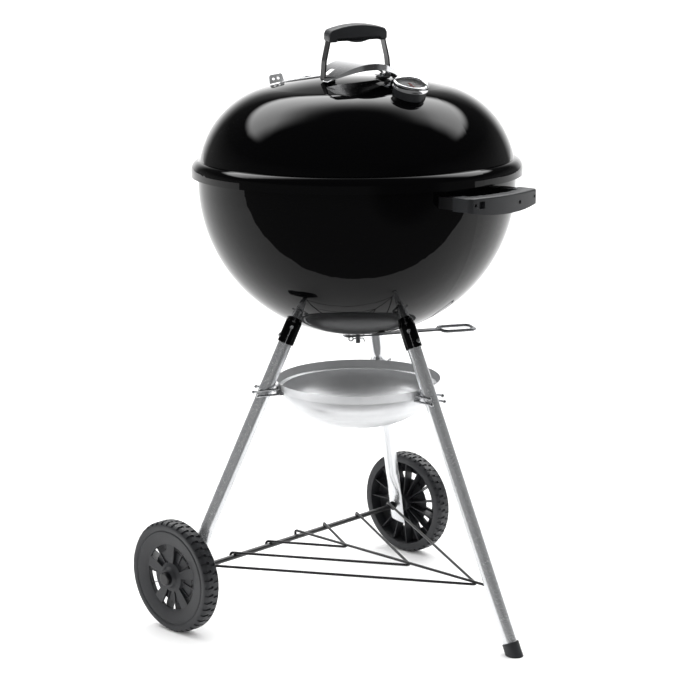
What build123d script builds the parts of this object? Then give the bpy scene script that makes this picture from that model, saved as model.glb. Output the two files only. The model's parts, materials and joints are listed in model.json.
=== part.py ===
"""Kettle charcoal grill on a three-legged wheeled stand, in millimetres.

Frame: the floor is Z = 0 and the kettle's own axis is the Z axis. The front leg, which stands on
a foot, points along +X. The two rear legs lean towards -X at 120 degrees and carry the wheels.
"""

from build123d import *
import os
from math import acos, asin, atan2, cos, degrees, radians, sin, sqrt, tan

os.makedirs("parts", exist_ok=True)

# Kettle shells: pressed steel, enamelled
SHELL = 1.2
LID_R = 282.0  # outside radius of the lid's wall
LID_TOP = 986.2
CROWN_R = 676.8  # the lid's flat crown
SHOULDER_R = 158.8  # the rounded shoulder between crown and wall
FLANGE_R = 295.0  # the lip that hangs over the bowl's rim
FLANGE_TOP = 842.0
FLARE_R = 17.0
SKIRT_LOW = 814.0
BOWL_R = 283.0
BOWL_BOTTOM = 524.6
BOWL_BASE_R = 303.2
BOWL_SIDE_R = 275.0
BEAD_R = 4.0  # the rolled edge that the lid rests on
RIM_GAP = 0.35

# Stand: three tubes that lean out from the bowl
LEG_D = 25.4
LEG_WALL = 1.2
SPLAY = 24.4  # degrees from upright
SOCKET_D = 30.0
SOCKET_LOW_R = 136.4
SOCKET_LOW_Z = 513.3
SOCKET_LEN = 40.0
LEG_AZIMUTHS = {"front": 0.0, "rear_left": -120.0, "rear_right": 120.0}
SEAM_AZIMUTHS = {"front": -48.0, "rear_left": 72.0, "rear_right": -72.0}
BLADE_W = 37.0  # the flattened end of a rear leg
BLADE_T = 6.0
CAP_D = 30.0
CAP_LEN = 19.0

# Wheels and axle
WHEEL_R = 101.8
WHEEL_Y = 312.3
TYRE_HALF = 17.0
AXLE_D = 9.5
AXLE_X = -161.5
AXLE_Z = WHEEL_R
SPOKES = 5
TREAD_NOTCHES = 40

# Rack, dish and ash sweep
RACK_WIRE = 5.0
RACK_Z = AXLE_Z + AXLE_D / 2 + RACK_WIRE / 2
DISH_R = 150.0
DISH_TOP = 439.3
DISH_BAND = 15.0
DISH_BODY_R = 140.0
DISH_DEPTH = 72.0
DISH_WALL = 1.2
LEVER_AZ = 60.0
LEVER_Z = 518.5
LEVER_END = 222.0
SHAFT_R = 4.5

# Grates
CHARCOAL_R = 216.0
CHARCOAL_Z = 637.0
COOKING_R = 269.0
COOKING_Z = 780.0
GRATE_WIRE = 8.0

# Lid fittings, each placed by its distance from the lid's middle and its azimuth
HANDLE_OUT = 50.2
HANDLE_AZ = -47.5
HANDLE_TURN = 66.0  # azimuth that the grip runs along
HANDLE_HALF = 62.0
THERMO_OUT = 171.5
THERMO_AZ = -15.3
DAMPER_OUT = 105.0
DAMPER_AZ = -169.0
DAMPER_R = 50.0
TAB_AZ = -123.0
VENT_R = 9.5
VENT_OUT = 28.0

# Side handles
GRIP_X = 349.0
GRIP_HALF = 88.0
GRIP_Z = 791.0


def keep(piece, name):
    """Label a finished piece and write it as one STEP file."""
    piece.label = name
    export_step(piece, f"parts/{name}.step")


def polar(radius, azimuth, z=0.0):
    """A point at a radius and an azimuth about the kettle's axis."""
    a = radians(azimuth)
    return Vector(radius * cos(a), radius * sin(a), z)


def meet(x1, z1, r1, x2, z2, r2):
    """The upper point where two circles cross."""
    dx, dz = x2 - x1, z2 - z1
    d = sqrt(dx * dx + dz * dz)
    along = (r1 * r1 - r2 * r2 + d * d) / (2 * d)
    side = sqrt(r1 * r1 - along * along)
    x, z = x1 + along * dx / d, z1 + along * dz / d
    return x - side * dz / d, z + side * dx / d


def bent_wire(points, bend, thickness):
    """A round wire along straight runs joined by bends of one radius."""
    with BuildPart() as wire:
        with BuildLine() as route:
            if len(points) > 2:
                FilletPolyline(*points, radius=bend)
            else:
                Line(*points)
        with BuildSketch(Plane(origin=route.line @ 0, z_dir=route.line % 0)):
            Circle(thickness / 2)
        sweep()
    return wire.part


# Lid geometry: crown and shoulder are tangent arcs of revolution
SHOULDER_X = LID_R - SHOULDER_R
CROWN_Z = LID_TOP - CROWN_R
SHOULDER_Z = CROWN_Z + sqrt((CROWN_R - SHOULDER_R) ** 2 - SHOULDER_X**2)
CROWN_ANGLE = atan2(SHOULDER_X, SHOULDER_Z - CROWN_Z)
FLARE_X = FLANGE_R - FLARE_R
FLARE_Z = FLANGE_TOP - FLARE_R
WALL_MEET = meet(SHOULDER_X, SHOULDER_Z, SHOULDER_R, FLARE_X, FLARE_Z, FLARE_R)

# Bowl geometry: base and side are tangent arcs of revolution
SIDE_X = BOWL_R - BOWL_SIDE_R
BASE_Z = BOWL_BOTTOM + BOWL_BASE_R
SIDE_Z = BASE_Z - sqrt((BOWL_BASE_R - BOWL_SIDE_R) ** 2 - SIDE_X**2)
BASE_ANGLE = atan2(SIDE_X, BASE_Z - SIDE_Z)
BEAD_X = BOWL_R + 2.5
BEAD_REACH = FLARE_R - SHELL - BEAD_R - RIM_GAP
BEAD_Z = FLARE_Z + sqrt(BEAD_REACH**2 - (BEAD_X - FLARE_X) ** 2)


def bowl_radius(z, inset):
    """Radius of the bowl's side at a height, measured a given distance inside its outer face."""
    return SIDE_X + sqrt((BOWL_SIDE_R - inset) ** 2 - (SIDE_Z - z) ** 2)


def lid_half(inset):
    """Half section of the lid from its middle to its skirt, moved in from the outer face."""
    crown, shoulder, flare = CROWN_R - inset, SHOULDER_R - inset, FLARE_R - inset
    knee = (crown * sin(CROWN_ANGLE), CROWN_Z + crown * cos(CROWN_ANGLE))
    foot = meet(SHOULDER_X, SHOULDER_Z, shoulder, FLARE_X, FLARE_Z, flare)
    return crown, shoulder, flare, knee, foot


def arc_mid(cx, cz, radius, start, end):
    """Middle point of the arc between two points of a circle, on the side away from its centre."""
    mx, mz = (start[0] + end[0]) / 2 - cx, (start[1] + end[1]) / 2 - cz
    d = sqrt(mx * mx + mz * mz)
    return cx + radius * mx / d, cz + radius * mz / d


def lid_edges(inset):
    """Draw the lid's section line in the current BuildLine and return its two ends."""
    crown, shoulder, flare, knee, foot = lid_half(inset)
    top = (0, CROWN_Z + crown)
    lip = (FLARE_X + flare, FLARE_Z)
    low = (FLARE_X + flare, SKIRT_LOW)
    ThreePointArc(top, arc_mid(0, CROWN_Z, crown, top, knee), knee)
    ThreePointArc(knee, arc_mid(SHOULDER_X, SHOULDER_Z, shoulder, knee, foot), foot)
    ThreePointArc(foot, arc_mid(FLARE_X, FLARE_Z, flare, foot, lip), lip)
    Line(lip, low)
    return top, low


def bowl_edges(inset):
    """Draw the bowl's section line in the current BuildLine and return its two ends."""
    base, side = BOWL_BASE_R - inset, BOWL_SIDE_R - inset
    bottom = (0, BASE_Z - base)
    knee = (base * sin(BASE_ANGLE), BASE_Z - base * cos(BASE_ANGLE))
    wall = (SIDE_X + side, SIDE_Z)
    top = (SIDE_X + side, BEAD_Z)
    ThreePointArc(bottom, arc_mid(0, BASE_Z, base, bottom, knee), knee)
    ThreePointArc(knee, arc_mid(SIDE_X, SIDE_Z, side, knee, wall), wall)
    Line(wall, top)
    return bottom, top


def solid_of(edges, inset, closing):
    """Solid of revolution inside a section line, closed across at its open end."""
    with BuildPart() as body:
        with BuildSketch(Plane.XZ):
            with BuildLine():
                start, end = edges(inset)
                Polyline(end, (0, end[1]), start) if closing else Line(end, start)
            make_face()
        revolve(axis=Axis.Z)
    return body.part


LID_ENVELOPE = solid_of(lid_edges, -0.05, True)
BOWL_ENVELOPE = solid_of(bowl_edges, -0.05, True)
BOWL_CAVITY = solid_of(bowl_edges, SHELL + 0.02, True)


def crown_plane(out, azimuth, turn):
    """Plane on the lid's outer face: local z stands square to it, local x runs towards turn."""
    if out < CROWN_R * sin(CROWN_ANGLE):
        tilt = asin(out / CROWN_R)
        height = CROWN_Z + CROWN_R * cos(tilt)
    else:
        tilt = asin((out - SHOULDER_X) / SHOULDER_R)
        height = SHOULDER_Z + SHOULDER_R * cos(tilt)
    normal = polar(sin(tilt), azimuth, cos(tilt))
    along = polar(1, turn)
    along = along - normal * along.dot(normal)
    return Plane(origin=polar(out, azimuth, height), x_dir=along, z_dir=normal)


HANDLE = crown_plane(HANDLE_OUT, HANDLE_AZ, HANDLE_TURN)
THERMO = crown_plane(THERMO_OUT, THERMO_AZ, THERMO_AZ)
DAMPER = crown_plane(DAMPER_OUT, DAMPER_AZ, TAB_AZ)


def side_view(plane):
    """The upright plane through a fitting's own x and z axes."""
    return Plane(origin=plane.origin, x_dir=plane.x_dir, z_dir=plane.x_dir.cross(plane.z_dir))


def end_view(plane):
    """The upright plane through a fitting's own y and z axes."""
    return Plane(origin=plane.origin, x_dir=plane.y_dir, z_dir=plane.y_dir.cross(plane.z_dir))


def lifted(plane, height):
    """A fitting's plane moved out along its own z axis."""
    return Plane(origin=plane.origin + plane.z_dir * height, x_dir=plane.x_dir, z_dir=plane.z_dir)


# ---------------------------------------------------------------- lid
STRAP_W = 19.0
STRAP_T = 2.5
FOOT_IN = 42.0  # the strap's feet turn in under the heat shield as far as this
BOLT_AT = 51.0
BOLT_R = 3.0
STEM_R = 6.0
PIVOT_R = 2.5

with BuildPart() as lid_shell:
    with BuildSketch(Plane.XZ):
        with BuildLine():
            outer_top, outer_low = lid_edges(0)
            inner_top, inner_low = lid_edges(SHELL)
            Line(outer_top, inner_top)
            Line(outer_low, inner_low)
        make_face()
    revolve(axis=Axis.Z)
    with BuildSketch(lifted(HANDLE, -10)):
        with Locations((-BOLT_AT, 0), (BOLT_AT, 0)):
            Circle(BOLT_R + 0.2)
    extrude(amount=20, mode=Mode.SUBTRACT)
    with BuildSketch(lifted(THERMO, -10)):
        Circle(STEM_R)
    extrude(amount=20, mode=Mode.SUBTRACT)
    with BuildSketch(lifted(DAMPER, -10)):
        Circle(PIVOT_R)
        with PolarLocations(VENT_OUT, 4, start_angle=45):
            Circle(VENT_R)
    extrude(amount=20, mode=Mode.SUBTRACT)
keep(lid_shell.part, "lid_shell")

STRAP_TOP = 77.0
STRAP_LEAN = 13.0
STRAP_FOOT = 0.0

with BuildPart() as lid_handle_strap:
    with BuildLine(side_view(HANDLE)) as strap_line:
        foot_z = STRAP_FOOT - HANDLE_HALF**2 / (2 * CROWN_R) + STRAP_T / 2 + 0.3
        toe_z = STRAP_FOOT - FOOT_IN**2 / (2 * CROWN_R) + STRAP_T / 2 + 0.3
        FilletPolyline(
            (-FOOT_IN, toe_z),
            (-HANDLE_HALF, foot_z),
            (-HANDLE_HALF + STRAP_LEAN * 0.25, STRAP_TOP * 0.45),
            (-HANDLE_HALF + STRAP_LEAN, STRAP_TOP),
            (HANDLE_HALF - STRAP_LEAN, STRAP_TOP),
            (HANDLE_HALF - STRAP_LEAN * 0.25, STRAP_TOP * 0.45),
            (HANDLE_HALF, foot_z),
            (FOOT_IN, toe_z),
            radius=5,
        )
    start_at = strap_line.line @ 0
    with BuildSketch(Plane(origin=start_at, x_dir=HANDLE.y_dir, z_dir=strap_line.line % 0)):
        Rectangle(STRAP_W, STRAP_T)
    sweep()
    with BuildSketch(lifted(HANDLE, -6)):
        with Locations((-BOLT_AT, 0), (BOLT_AT, 0)):
            Circle(BOLT_R + 0.2)
    extrude(amount=12, mode=Mode.SUBTRACT)
keep(lid_handle_strap.part, "lid_handle_strap")

GRIP_LEN = 108.0
GRIP_W = 30.0
GRIP_TOP = 95.0
GRIP_END_TOP = 86.0
GRIP_END_LOW = 66.5
GRIP_BELLY = 64.0
GRIP_NOTCH = 70.5

with BuildPart() as lid_handle_grip:
    half = GRIP_LEN / 2
    with BuildSketch(side_view(HANDLE)):
        with BuildLine():
            ThreePointArc((-half, GRIP_END_TOP), (0, GRIP_TOP), (half, GRIP_END_TOP))
            Line((half, GRIP_END_TOP), (half, GRIP_END_LOW))
            Line((half, GRIP_END_LOW), (half - 14, GRIP_END_LOW))
            Spline(
                (half - 14, GRIP_END_LOW),
                (half - 25, GRIP_NOTCH),
                (0, GRIP_BELLY),
                (25 - half, GRIP_NOTCH),
                (14 - half, GRIP_END_LOW),
                tangents=((-1, 0), (-1, 0)),
            )
            Line((14 - half, GRIP_END_LOW), (-half, GRIP_END_LOW))
            Line((-half, GRIP_END_LOW), (-half, GRIP_END_TOP))
        make_face()
    extrude(amount=GRIP_W / 2, both=True)
    across = lid_handle_grip.edges().filter_by(Axis(HANDLE.origin, HANDLE.y_dir))
    by_length = across.sort_by(Axis(HANDLE.origin, HANDLE.x_dir))
    fillet(by_length[:2] + by_length[-2:], radius=8)
    grip_sides = lid_handle_grip.faces().sort_by(Axis(HANDLE.origin, HANDLE.y_dir))
    fillet(grip_sides[0].edges() + grip_sides[-1].edges(), radius=2.5)
    add(lid_handle_strap.part, mode=Mode.SUBTRACT)
keep(lid_handle_grip.part, "lid_handle_grip")

SHIELD_T = 1.2
SHIELD_R = 68.0  # a round sheet, bent up into an arch
SHIELD_FORWARD = 16.0
SHIELD_CROWN = 1015.0
SHIELD_FEET = 984.0
SHIELD_SPAN = 66.0
SHIELD_LIP = 11.0
SHIELD_SEAT = 3.6
PAD_DEEP = 16.0
STRAP_CLEAR = 10.4

with BuildPart() as lid_heat_shield:
    facing = polar(1, HANDLE_TURN - 90)
    middle = Vector(HANDLE.origin.X, HANDLE.origin.Y, 0) + facing * SHIELD_FORWARD
    across = Plane(origin=middle, x_dir=polar(1, HANDLE_TURN), z_dir=facing)
    left, right, top = (-SHIELD_SPAN, SHIELD_FEET), (SHIELD_SPAN, SHIELD_FEET), (0, SHIELD_CROWN)
    with BuildSketch(across):
        with BuildLine():
            ThreePointArc(left, top, right)
            ThreePointArc(right, (0, SHIELD_CROWN - SHIELD_LIP), left)
        make_face()
    extrude(amount=2 * SHIELD_R)
    with BuildSketch(Plane(middle + Vector(0, 0, SHIELD_FEET - 30))):
        Circle(SHIELD_R - 0.1)
        Circle(SHIELD_R - 0.1 - SHIELD_T, mode=Mode.SUBTRACT)
    extrude(amount=100, mode=Mode.INTERSECT)
    with BuildSketch(Plane(middle - facing * 1.5 * SHIELD_R, across.x_dir, facing)):
        with BuildLine():
            ThreePointArc(left, top, right)
            Line(right, (SHIELD_SPAN, SHIELD_FEET - SHIELD_T))
            ThreePointArc(
                (SHIELD_SPAN, SHIELD_FEET - SHIELD_T),
                (0, SHIELD_CROWN - SHIELD_T),
                (-SHIELD_SPAN, SHIELD_FEET - SHIELD_T),
            )
            Line((-SHIELD_SPAN, SHIELD_FEET - SHIELD_T), left)
        make_face()
    extrude(amount=3 * SHIELD_R)
    with BuildSketch(lifted(HANDLE, SHIELD_SEAT)):
        with Locations((-SHIELD_SPAN, 0), (SHIELD_SPAN, 0)):
            Rectangle(2 * (SHIELD_SPAN - BOLT_AT + 8), 2 * STRAP_CLEAR)
    extrude(amount=60, mode=Mode.SUBTRACT)
    with BuildSketch(lifted(HANDLE, SHIELD_SEAT - SHIELD_T)):
        with Locations((-BOLT_AT - 3, 0), (BOLT_AT + 3, 0)):
            Rectangle(24, 2 * PAD_DEEP)
    extrude(amount=SHIELD_T)
    with BuildSketch(lifted(HANDLE, -20)):
        with Locations((-BOLT_AT, 0), (BOLT_AT, 0)):
            Circle(BOLT_R + 0.2)
        with Locations((-SHIELD_SPAN - 5, 0), (SHIELD_SPAN + 5, 0)):
            Rectangle(26, 2 * STRAP_CLEAR)
    extrude(amount=60, mode=Mode.SUBTRACT)
    with BuildSketch(Plane(middle + Vector(0, 0, SHIELD_FEET - 40))):
        Circle(SHIELD_R)
    extrude(amount=120, mode=Mode.INTERSECT)
keep(lid_heat_shield.part, "lid_heat_shield")

with BuildPart() as lid_handle_bolts:
    with BuildSketch(lifted(HANDLE, SHIELD_SEAT + 0.02)):
        with Locations((-BOLT_AT, 0), (BOLT_AT, 0)):
            Circle(5.5)
    extrude(amount=3.2)
    with BuildSketch(lifted(HANDLE, SHIELD_SEAT + 0.5)):
        with Locations((-BOLT_AT, 0), (BOLT_AT, 0)):
            Circle(BOLT_R - 0.2)
    extrude(amount=-18)
keep(lid_handle_bolts.part, "lid_handle_bolts")

NUT_TOP = -BOLT_AT**2 / (2 * CROWN_R) - SHELL - 0.8

with BuildPart() as lid_handle_nuts:
    with BuildSketch(lifted(HANDLE, NUT_TOP)):
        with Locations((-BOLT_AT, 0), (BOLT_AT, 0)):
            RegularPolygon(5.8, 6)
            Circle(BOLT_R - 0.2, mode=Mode.SUBTRACT)
    extrude(amount=-5)
keep(lid_handle_nuts.part, "lid_handle_nuts")

# ---------------------------------------------------------------- lid damper
DAMPER_T = 1.5
DAMPER_GAP = 0.4
TAB_IN = 42.0
TAB_OUT = 69.0
TAB_HIGH = 15.0

with BuildPart() as lid_damper:
    low, high = CROWN_R + DAMPER_GAP, CROWN_R + DAMPER_GAP + DAMPER_T
    with BuildSketch(side_view(DAMPER)):
        with BuildLine():
            edge_low = -CROWN_R + sqrt(low**2 - DAMPER_R**2)
            edge_high = -CROWN_R + sqrt(high**2 - DAMPER_R**2)
            mid_low = -CROWN_R + sqrt(low**2 - (DAMPER_R / 2) ** 2)
            mid_high = -CROWN_R + sqrt(high**2 - (DAMPER_R / 2) ** 2)
            ThreePointArc((0, low - CROWN_R), (DAMPER_R / 2, mid_low), (DAMPER_R, edge_low))
            Line((DAMPER_R, edge_low), (DAMPER_R, edge_high))
            ThreePointArc((DAMPER_R, edge_high), (DAMPER_R / 2, mid_high), (0, high - CROWN_R))
            Line((0, high - CROWN_R), (0, low - CROWN_R))
        make_face()
    revolve(axis=Axis(DAMPER.origin, DAMPER.z_dir))
    with BuildSketch(lifted(DAMPER, -10)):
        Circle(PIVOT_R + 0.05)
        with PolarLocations(VENT_OUT, 4, start_angle=45):
            Circle(VENT_R)
    extrude(amount=20, mode=Mode.SUBTRACT)
    with BuildSketch(side_view(DAMPER)):
        with BuildLine():
            FilletPolyline(
                (TAB_IN, 0.8),
                (TAB_IN + 2, TAB_HIGH),
                (TAB_OUT - 1, TAB_HIGH - 1),
                (TAB_OUT, -1.8),
                radius=4,
            )
            Line((TAB_OUT, -1.8), (TAB_IN, 0.8))
        make_face()
        with Locations((TAB_IN + 10, 7), (TAB_IN + 19, 6.5)):
            Circle(2.4, mode=Mode.SUBTRACT)
    extrude(amount=DAMPER_T / 2, both=True)
keep(lid_damper.part, "lid_damper")

with BuildPart() as lid_damper_rivet:
    with BuildSketch(lifted(DAMPER, DAMPER_GAP + DAMPER_T + 0.1)):
        Circle(8)
    extrude(amount=2)
    fillet(lid_damper_rivet.edges().group_by(Axis(DAMPER.origin, DAMPER.z_dir))[-1], radius=1.2)
    with BuildSketch(lifted(DAMPER, DAMPER_GAP + DAMPER_T + 0.5)):
        Circle(PIVOT_R)
    extrude(amount=-6)
    with BuildSketch(lifted(DAMPER, -SHELL - 0.3)):
        Circle(6)
    extrude(amount=-2)
keep(lid_damper_rivet.part, "lid_damper_rivet")

# ---------------------------------------------------------------- lid hook
HOOK_AZ = 135.0
HOOK_WIRE = 5.0
HOOK_R = 269.5
HOOK_Z = 862.0

with BuildPart() as lid_hook:
    for shift in (-16, 16):
        turn = degrees(shift / LID_R)
        add(bent_wire(
            [polar(HOOK_R - 8, HOOK_AZ + turn, HOOK_Z + 18), polar(HOOK_R, HOOK_AZ + turn, HOOK_Z),
             polar(HOOK_R - 18, HOOK_AZ + turn, HOOK_Z - 16)], 6, HOOK_WIRE))
    hook_turn = degrees(16 / LID_R)
    add(bent_wire(
        [polar(HOOK_R - 18, HOOK_AZ - hook_turn, HOOK_Z - 16),
         polar(HOOK_R - 18, HOOK_AZ + hook_turn, HOOK_Z - 16)], 6, HOOK_WIRE))
keep(lid_hook.part, "lid_hook")

# ---------------------------------------------------------------- thermometer
CASE_R = 28.5
CASE_TOP = 15.0
BEZEL_R = 30.5
BEZEL_LOW = 12.0
BEZEL_TOP = 23.5
BEZEL_OPEN = 25.0
DIAL_Z = 16.0

with BuildPart() as thermometer_case:
    with BuildSketch(lifted(THERMO, -12)):
        Circle(CASE_R)
    extrude(amount=12 + CASE_TOP)
    with BuildSketch(lifted(THERMO, 4)):
        Circle(CASE_R - 1.5)
    extrude(amount=20, mode=Mode.SUBTRACT)
    with BuildSketch(lifted(THERMO, -13)):
        Circle(STEM_R)
    extrude(amount=30, mode=Mode.SUBTRACT)
    add(LID_ENVELOPE, mode=Mode.SUBTRACT)
keep(thermometer_case.part, "thermometer_case")

with BuildPart() as thermometer_bezel:
    with BuildSketch(side_view(THERMO)):
        with BuildLine():
            FilletPolyline(
                (CASE_R + 0.02, BEZEL_LOW), (BEZEL_R, BEZEL_LOW), (BEZEL_R, BEZEL_TOP),
                (BEZEL_OPEN, BEZEL_TOP), radius=1.5)
            Polyline((BEZEL_OPEN, BEZEL_TOP), (BEZEL_OPEN, BEZEL_TOP - 1.5), (CASE_R + 0.02, BEZEL_TOP - 1.5),
                     (CASE_R + 0.02, BEZEL_LOW))
        make_face()
    revolve(axis=Axis(THERMO.origin, THERMO.z_dir))
keep(thermometer_bezel.part, "thermometer_bezel")

with BuildPart() as thermometer_dial:
    with BuildSketch(lifted(THERMO, CASE_TOP)):
        Circle(CASE_R)
        Circle(0.9, mode=Mode.SUBTRACT)
    extrude(amount=DIAL_Z - CASE_TOP)
keep(thermometer_dial.part, "thermometer_dial")

with BuildPart() as thermometer_lens:
    with BuildSketch(lifted(THERMO, BEZEL_TOP - 1.5)):
        Circle(CASE_R)
    extrude(amount=-1.5)
keep(thermometer_lens.part, "thermometer_lens")

with BuildPart() as thermometer_needle:
    with BuildSketch(lifted(THERMO, DIAL_Z + 1.2)):
        Circle(2.6)
        with BuildLine():
            Polyline((-7, -1.6), (20.5, -0.4), (20.5, 0.4), (-7, 1.6), (-7, -1.6))
        make_face()
    extrude(amount=0.8)
    with BuildSketch(lifted(THERMO, DIAL_Z + 1.4)):
        Circle(0.8)
    extrude(amount=-10)
keep(thermometer_needle.part, "thermometer_needle")

with BuildPart() as thermometer_stem:
    with BuildSketch(lifted(THERMO, 4)):
        Circle(STEM_R - 0.02)
    extrude(amount=-12)
    with BuildSketch(lifted(THERMO, -8)):
        Circle(3)
    extrude(amount=-34)
    with BuildSketch(lifted(THERMO, 4)):
        Circle(2.2)
    extrude(amount=-44, mode=Mode.SUBTRACT)
    with BuildSketch(lifted(THERMO, 4)):
        Circle(9)
        Circle(2.2, mode=Mode.SUBTRACT)
    extrude(amount=1.5)
    with BuildSketch(lifted(THERMO, -42)):
        Circle(3)
    extrude(amount=2)
keep(thermometer_stem.part, "thermometer_stem")

with BuildPart() as thermometer_nut:
    with BuildSketch(lifted(THERMO, -SHELL - 0.6)):
        RegularPolygon(10, 6)
        Circle(STEM_R - 0.02, mode=Mode.SUBTRACT)
    extrude(amount=-4)
keep(thermometer_nut.part, "thermometer_nut")

# ---------------------------------------------------------------- bowl
BLADE_SPAN = 26.0  # degrees covered by one sweep blade
SWEEP_TRAVEL = 42.0
ASH_SLOT_IN = 42.0
ASH_SLOT_OUT = 122.0
ASH_SLOT_SPAN = 20.0

with BuildPart() as bowl_shell:
    with BuildSketch(Plane.XZ):
        with BuildLine():
            outer_bottom, outer_rim = bowl_edges(0)
            inner_bottom, inner_rim = bowl_edges(SHELL)
            Line(outer_bottom, inner_bottom)
            Line(outer_rim, inner_rim)
        make_face()
        with Locations((BEAD_X, BEAD_Z)):
            Circle(BEAD_R)
    revolve(axis=Axis.Z)
    with BuildSketch(Plane.XY.offset(BOWL_BOTTOM - 5)):
        Circle(SHAFT_R + 0.06)
        for turn in range(3):
            azimuth = LEVER_AZ + SWEEP_TRAVEL + 120 * turn
            first, last = azimuth - ASH_SLOT_SPAN / 2, azimuth + ASH_SLOT_SPAN / 2
            with BuildLine():
                Line(polar(ASH_SLOT_IN, first), polar(ASH_SLOT_OUT, first))
                ThreePointArc(polar(ASH_SLOT_OUT, first), polar(ASH_SLOT_OUT, azimuth),
                              polar(ASH_SLOT_OUT, last))
                Line(polar(ASH_SLOT_OUT, last), polar(ASH_SLOT_IN, last))
                ThreePointArc(polar(ASH_SLOT_IN, last), polar(ASH_SLOT_IN, azimuth),
                              polar(ASH_SLOT_IN, first))
            make_face()
    extrude(amount=60, mode=Mode.SUBTRACT)
keep(bowl_shell.part, "bowl_shell")

TAB_SPACING = 90.0


def grate_tabs(name, z, reach, start):
    """Four bent steel tabs welded inside the bowl to carry a grate at one height."""
    with BuildPart() as tabs:
        wall = bowl_radius(z, SHELL)
        for turn in range(4):
            along = polar(1, start + TAB_SPACING * turn)
            across = Vector(-along.Y, along.X, 0)
            with BuildSketch(Plane(origin=(0, 0, 0), x_dir=along, z_dir=along.cross(Vector(0, 0, 1)))):
                with BuildLine():
                    Polyline(
                        (wall - reach, z), (wall + 3, z), (wall + 3, z - 30), (wall - 16, z - 30),
                        (wall - 3, z - 3), (wall - reach, z - 3), (wall - reach, z))
                make_face()
            extrude(amount=11, both=True)
        add(BOWL_CAVITY, mode=Mode.INTERSECT)
    keep(tabs.part, name)


grate_tabs("cooking_grate_tabs", COOKING_Z - GRATE_WIRE / 2 - 0.4, 22, 45)
grate_tabs("charcoal_grate_tabs", CHARCOAL_Z - GRATE_WIRE / 2 - 0.4, 22, 15)


def grate(name, ring_r, z, rod, spacing, count, bars):
    """A round grate: a ring, parallel rods across it and a few bars under them."""
    with BuildPart() as piece:
        with BuildSketch(Plane.XZ):
            with Locations((ring_r, z)):
                Circle(GRATE_WIRE / 2)
        revolve(axis=Axis.Z)
        for index in range(count):
            y = (index - (count - 1) / 2) * spacing
            half = sqrt(ring_r**2 - y * y)
            with BuildSketch(Plane(origin=(-half, y, z + 0.6), x_dir=(0, 1, 0), z_dir=(1, 0, 0))):
                Circle(rod / 2)
            extrude(amount=2 * half)
        for x in bars:
            half = sqrt(ring_r**2 - x * x)
            with BuildSketch(Plane(origin=(x, -half, z - rod + 1.2), x_dir=(1, 0, 0), z_dir=(0, 1, 0))):
                Circle(rod / 2)
            extrude(amount=2 * half)
        if name == "cooking_grate":
            for side in (-1, 1):
                x = side * (ring_r - 46)
                add(bent_wire(
                    [(x, -52, z), (x + side * 9, -46, z + 21), (x + side * 9, 46, z + 21), (x, 52, z)], 8, 5))
    keep(piece.part, name)


grate("cooking_grate", COOKING_R, COOKING_Z, 5, 18, 29, (-120, 0, 120))
grate("charcoal_grate", CHARCOAL_R, CHARCOAL_Z, 6, 20, 21, (-95, 95))

# ---------------------------------------------------------------- side handles
ARM_IN = 64.0
GRIP_THICK = 24.0
ARM_BACK = 300.0
SCREW_Y = 77.0


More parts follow.
